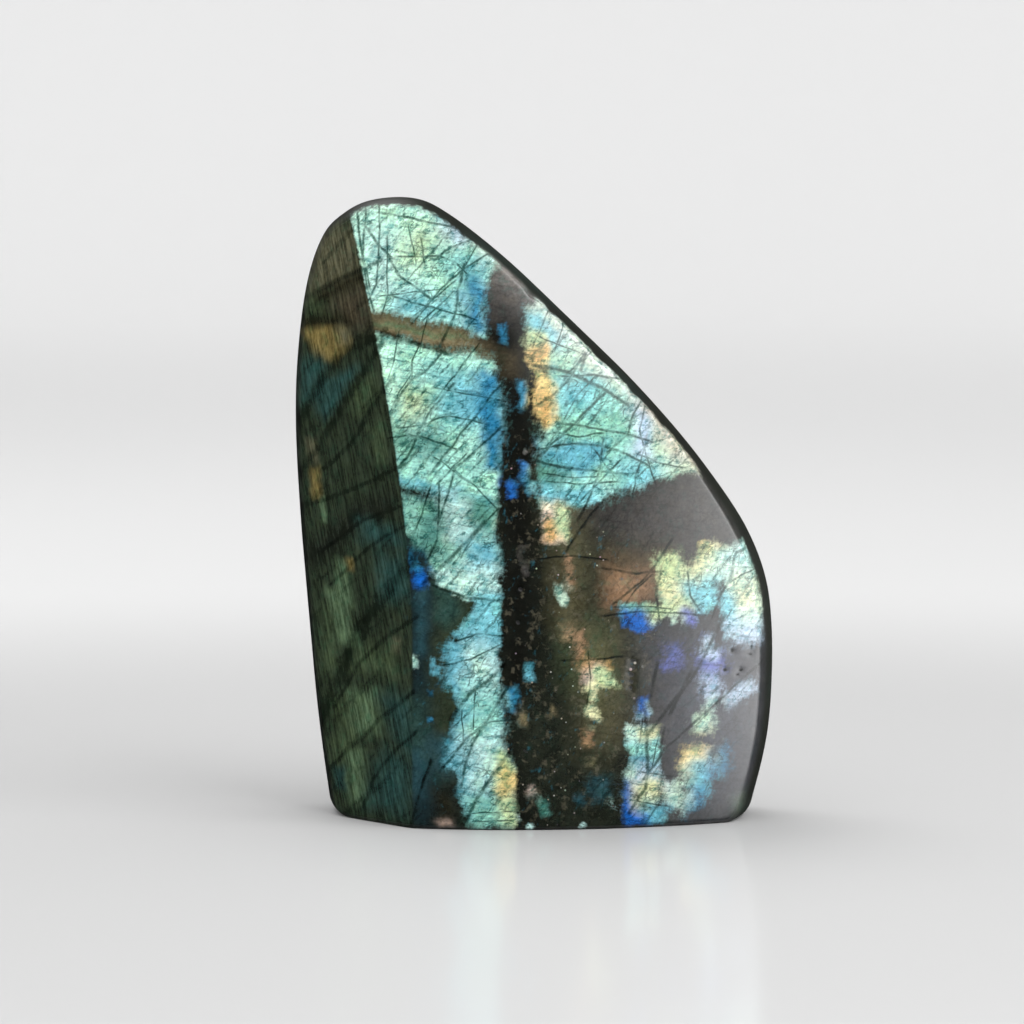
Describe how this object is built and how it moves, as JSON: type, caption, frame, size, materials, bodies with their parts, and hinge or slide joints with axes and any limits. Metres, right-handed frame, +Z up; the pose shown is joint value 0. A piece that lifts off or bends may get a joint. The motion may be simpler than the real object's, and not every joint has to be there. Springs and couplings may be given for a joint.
{
  "type": "labradorite freeform",
  "caption": "Polished freeform stone of labradorite with a domed flashing face, one long side facet and a flat sawn base that it stands on.",
  "frame": {"origin": "middle of the overall box at the level of the flat base, so the stone stands on z = 0", "axes": "+Z up along the stone's height, +X to the right as the domed flashing face is seen, and that face looks along -Y"},
  "size_m": [0.0768, 0.037, 0.0994],
  "materials": {
    "labradorite": null
  },
  "bodies": {
    "root": {"stone": "labradorite"}
  },
  "joints": []
}
